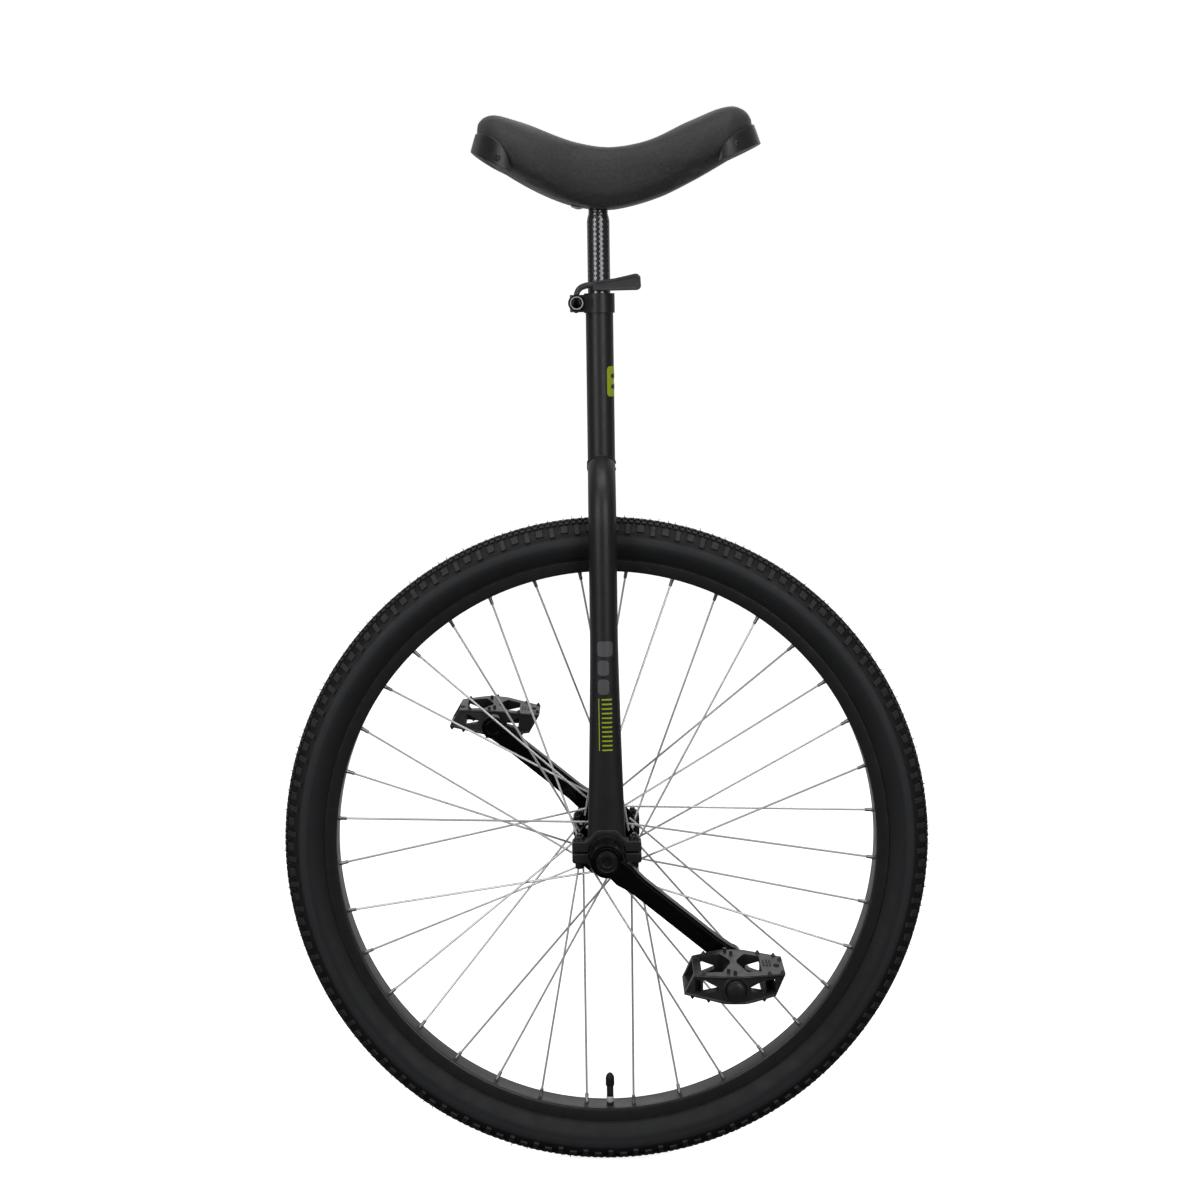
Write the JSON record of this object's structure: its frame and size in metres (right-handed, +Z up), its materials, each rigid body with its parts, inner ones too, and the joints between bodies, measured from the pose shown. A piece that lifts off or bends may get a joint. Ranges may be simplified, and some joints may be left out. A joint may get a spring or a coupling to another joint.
{
  "type": "unicycle",
  "caption": "Wide-wheeled unicycle with a knobbed tyre, curved saddle on a sliding post with a quick-release clamp, square-taper cranks and platform pedals.",
  "frame": {"origin": "the point where the tyre touches the ground, in the wheel's middle plane", "axes": "+Z up through the fork and seat post, +X forwards, +Y to the rider's left, so the wheel turns about Y"},
  "size_m": [0.728, 0.368, 1.1872],
  "materials": {
    "frame_paint": "satin black paint",
    "gloss_black": "gloss black",
    "bright_steel": "bright steel",
    "black_steel": "black-finished steel",
    "tyre_rubber": "moulded rubber with a knobbed tread",
    "tube_rubber": "smooth rubber",
    "rim_paint": "satin black",
    "rim_tape": "woven tape",
    "saddle_vinyl": "fine-grained black vinyl",
    "bumper_plastic": "moulded black plastic",
    "pedal_plastic": "moulded black plastic"
  },
  "bodies": {
    "frame": {"frame": "frame_paint", "clamp_collar": "frame_paint", "clamp_skewer": "bright_steel", "clamp_cam_cup": "gloss_black", "clamp_nut": "gloss_black", "right_bearing_cap": "frame_paint", "right_cap_bolt_rear": "black_steel", "right_cap_bolt_front": "black_steel", "right_cap_nut_rear": "black_steel", "right_cap_nut_front": "black_steel", "right_bearing_outer_race": "bright_steel", "left_bearing_cap": "frame_paint", "left_cap_bolt_rear": "black_steel", "left_cap_bolt_front": "black_steel", "left_cap_nut_rear": "black_steel", "left_cap_nut_front": "black_steel", "left_bearing_outer_race": "bright_steel"},
    "lever": {"clamp_lever": "black_steel"},
    "saddle": {"seat_post": "gloss_black", "saddle_base": "bumper_plastic", "saddle_cushion": "saddle_vinyl", "rear_bumper": "bumper_plastic", "front_bumper": "bumper_plastic", "rear_bumper_screw_right": "black_steel", "rear_bumper_screw_left": "black_steel", "front_bumper_screw_right": "black_steel", "front_bumper_screw_left": "black_steel", "saddle_nut_1": "bright_steel", "saddle_nut_2": "bright_steel", "saddle_nut_3": "bright_steel", "saddle_nut_4": "bright_steel"},
    "wheel": {"tyre": "tyre_rubber", "inner_tube": "tube_rubber", "valve_cap": "tube_rubber", "rim": "rim_paint", "rim_tape": "rim_tape", "hub_shell": "black_steel", "axle": "black_steel", "right_spokes": "bright_steel", "right_bearing_inner_race": "bright_steel", "right_bearing_balls": "bright_steel", "right_crank": "gloss_black", "right_crank_bolt": "black_steel", "right_pedal_spindle": "black_steel", "left_spokes": "bright_steel", "left_bearing_inner_race": "bright_steel", "left_bearing_balls": "bright_steel", "left_crank": "gloss_black", "left_crank_bolt": "black_steel", "left_pedal_spindle": "black_steel"},
    "right_pedal": {"right_pedal_body": "pedal_plastic", "right_pedal_end_cap": "pedal_plastic"},
    "left_pedal": {"left_pedal_body": "pedal_plastic", "left_pedal_end_cap": "pedal_plastic"}
  },
  "joints": [
    {"name": "wheel_spin", "type": "hinge", "parent": "frame", "child": "wheel", "pos_m": [0, 0, 0.364], "axis": [0, 1, 0], "continuous": true},
    {"name": "right_pedal_spin", "type": "hinge", "parent": "wheel", "child": "right_pedal", "pos_m": [0.13174, -0.14, 0.25655], "axis": [0, 1, 0], "continuous": true},
    {"name": "left_pedal_spin", "type": "hinge", "parent": "wheel", "child": "left_pedal", "pos_m": [-0.13174, 0.14, 0.47145], "axis": [0, 1, 0], "continuous": true},
    {"name": "seat_height", "type": "slide", "parent": "frame", "child": "saddle", "axis": [0, 0, 1], "range_m": [-0.06, 0.055]},
    {"name": "lever_open", "type": "hinge", "parent": "frame", "child": "lever", "pos_m": [-0.0253, -0.0202, 0.9693], "axis": [0, 0, -1], "range_deg": [0, 180]}
  ]
}
